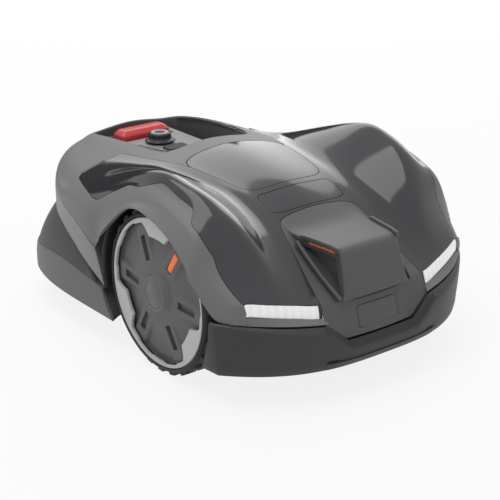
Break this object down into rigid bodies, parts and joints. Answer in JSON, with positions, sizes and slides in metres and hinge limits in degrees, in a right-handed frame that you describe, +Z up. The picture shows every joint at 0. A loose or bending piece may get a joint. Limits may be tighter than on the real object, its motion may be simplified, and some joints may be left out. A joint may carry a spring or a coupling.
{
  "type": "robotic lawn mower",
  "caption": "Robotic lawn mower with a floating body, driven front wheels, rear casters, a height-adjustable blade disc and a control deck.",
  "frame": {"origin": "on the ground under the middle of the body", "axes": "+Z up, -Y towards the front bumper, +X towards the machine's left side"},
  "size_m": [0.4442, 0.622, 0.261],
  "materials": {
    "carrier_black": "matte",
    "hood_gloss": "gloss",
    "top_satin": "satin",
    "side_matte": "matte",
    "nose_matte": "matte",
    "bumper_matte": "matte",
    "amber": "gloss",
    "lamp_white": "clear",
    "window_black": "gloss",
    "board_green": "satin",
    "motor_metal": "satin",
    "steel": "satin",
    "bush_brass": "satin",
    "tyre_rubber": "matte",
    "hub_dark": "matte",
    "ring_silver": "satin",
    "marker_orange": "satin",
    "frame_dark": "matte",
    "roller_rubber": "matte",
    "stop_red": "satin"
  },
  "bodies": {
    "chassis": {"chassis_tub": "carrier_black", "chassis_lid": "carrier_black", "sensor_posts": "carrier_black", "control_deck": "top_satin", "status_window": "window_black", "battery": "carrier_black", "main_board": "board_green", "right_gearmotor": "motor_metal", "left_gearmotor": "motor_metal", "axle_bearings": "steel", "height_motor": "motor_metal", "caster_bushes": "bush_brass"},
    "outer_body": {"body_shell": "carrier_black", "shell_mounts": "carrier_black", "hood": "hood_gloss", "rear_cover": "top_satin", "right_side_panel": "side_matte", "left_side_panel": "side_matte", "label_plate": "top_satin", "nose_cover": "nose_matte", "nose_window": "nose_matte", "amber_strips": "amber", "right_headlight_lens": "lamp_white", "left_headlight_lens": "lamp_white", "right_headlight_housing": "side_matte", "left_headlight_housing": "side_matte", "front_bumper": "bumper_matte", "tail_skirt": "side_matte", "recess_wall": "carrier_black"},
    "hatch_lid": {"hatch": "top_satin"},
    "right_wheel": {"right_tyre": "tyre_rubber", "right_rim": "hub_dark", "right_ring": "ring_silver", "right_hub_cap": "hub_dark", "right_marker": "marker_orange", "right_axle": "steel"},
    "left_wheel": {"left_tyre": "tyre_rubber", "left_rim": "hub_dark", "left_ring": "ring_silver", "left_hub_cap": "hub_dark", "left_marker": "marker_orange", "left_axle": "steel"},
    "right_caster": {"right_caster_fork": "frame_dark", "right_caster_pin": "steel"},
    "right_roller": {"right_caster_wheel": "roller_rubber"},
    "left_caster": {"left_caster_fork": "frame_dark", "left_caster_pin": "steel"},
    "left_roller": {"left_caster_wheel": "roller_rubber"},
    "cutter": {"cutter_carriage": "frame_dark", "cutter_motor": "motor_metal"},
    "lead_screw": {"height_screw": "steel"},
    "disc": {"blade_disc": "frame_dark", "blade_screws": "steel"},
    "first_blade": {"blade_1": "steel"},
    "second_blade": {"blade_2": "steel"},
    "third_blade": {"blade_3": "steel"},
    "skid": {"skid_plate": "frame_dark"},
    "stop_bar": {"stop_button": "stop_red"},
    "dial_stem": {"knob_stem": "steel"},
    "dial": {"knob": "window_black"}
  },
  "joints": [
    {"name": "right_wheel_spin", "type": "hinge", "parent": "chassis", "child": "right_wheel", "pos_m": [-0.187, -0.102, 0.11], "axis": [1, 0, 0], "continuous": true},
    {"name": "left_wheel_spin", "type": "hinge", "parent": "chassis", "child": "left_wheel", "pos_m": [0.187, -0.102, 0.11], "axis": [1, 0, 0], "continuous": true},
    {"name": "right_caster_swivel", "type": "hinge", "parent": "chassis", "child": "right_caster", "pos_m": [-0.118, 0.203, 0.1], "axis": [0, 0, 1], "continuous": true},
    {"name": "right_caster_roll", "type": "hinge", "parent": "right_caster", "child": "right_roller", "pos_m": [-0.118, 0.227, 0.032], "axis": [1, 0, 0], "continuous": true},
    {"name": "left_caster_swivel", "type": "hinge", "parent": "chassis", "child": "left_caster", "pos_m": [0.118, 0.203, 0.1], "axis": [0, 0, 1], "continuous": true},
    {"name": "left_caster_roll", "type": "hinge", "parent": "left_caster", "child": "left_roller", "pos_m": [0.118, 0.227, 0.032], "axis": [1, 0, 0], "continuous": true},
    {"name": "body_shift", "type": "slide", "parent": "chassis", "child": "outer_body", "axis": [0, 1, 0], "range_m": [-0.005, 0.005], "stiffness_N_per_m": 3000},
    {"name": "hatch_lift", "type": "slide", "parent": "outer_body", "child": "hatch_lid", "axis": [0, 0, 1], "range_m": [0, 0.05]},
    {"name": "cutter_height", "type": "slide", "parent": "chassis", "child": "cutter", "axis": [0, 0, 1], "range_m": [-0.015, 0.015]},
    {"name": "lead_screw_turn", "type": "hinge", "parent": "chassis", "child": "lead_screw", "pos_m": [0, 0.046, 0.13], "axis": [0, 0, 1], "range_deg": [-676, 676]},
    {"name": "disc_spin", "type": "hinge", "parent": "cutter", "child": "disc", "pos_m": [0, 0.046, 0.038], "axis": [0, 0, 1], "continuous": true},
    {"name": "first_blade_swing", "type": "hinge", "parent": "disc", "child": "first_blade", "pos_m": [0.086, 0.046, 0.0353], "axis": [0, 0, 1], "continuous": true},
    {"name": "second_blade_swing", "type": "hinge", "parent": "disc", "child": "second_blade", "pos_m": [-0.043, 0.12048, 0.0353], "axis": [0, 0, 1], "continuous": true},
    {"name": "third_blade_swing", "type": "hinge", "parent": "disc", "child": "third_blade", "pos_m": [-0.043, -0.02848, 0.0353], "axis": [0, 0, 1], "continuous": true},
    {"name": "skid_spin", "type": "hinge", "parent": "disc", "child": "skid", "pos_m": [0, 0.046, 0.0255], "axis": [0, 0, 1], "continuous": true},
    {"name": "stop_press", "type": "slide", "parent": "chassis", "child": "stop_bar", "axis": [0, 0, -1], "range_m": [0, 0.005], "stiffness_N_per_m": 1500, "springref_m": -0.002},
    {"name": "dial_press", "type": "slide", "parent": "chassis", "child": "dial_stem", "axis": [0, 0, -1], "range_m": [0, 0.002], "stiffness_N_per_m": 1500, "springref_m": -0.002},
    {"name": "dial_turn", "type": "hinge", "parent": "dial_stem", "child": "dial", "pos_m": [0, 0.188, 0.21], "axis": [0, 0, 1], "continuous": true}
  ],
  "couplings": [
    {"joint": "lead_screw_turn", "follows": "cutter_height", "rad_per_m": 785.4}
  ]
}
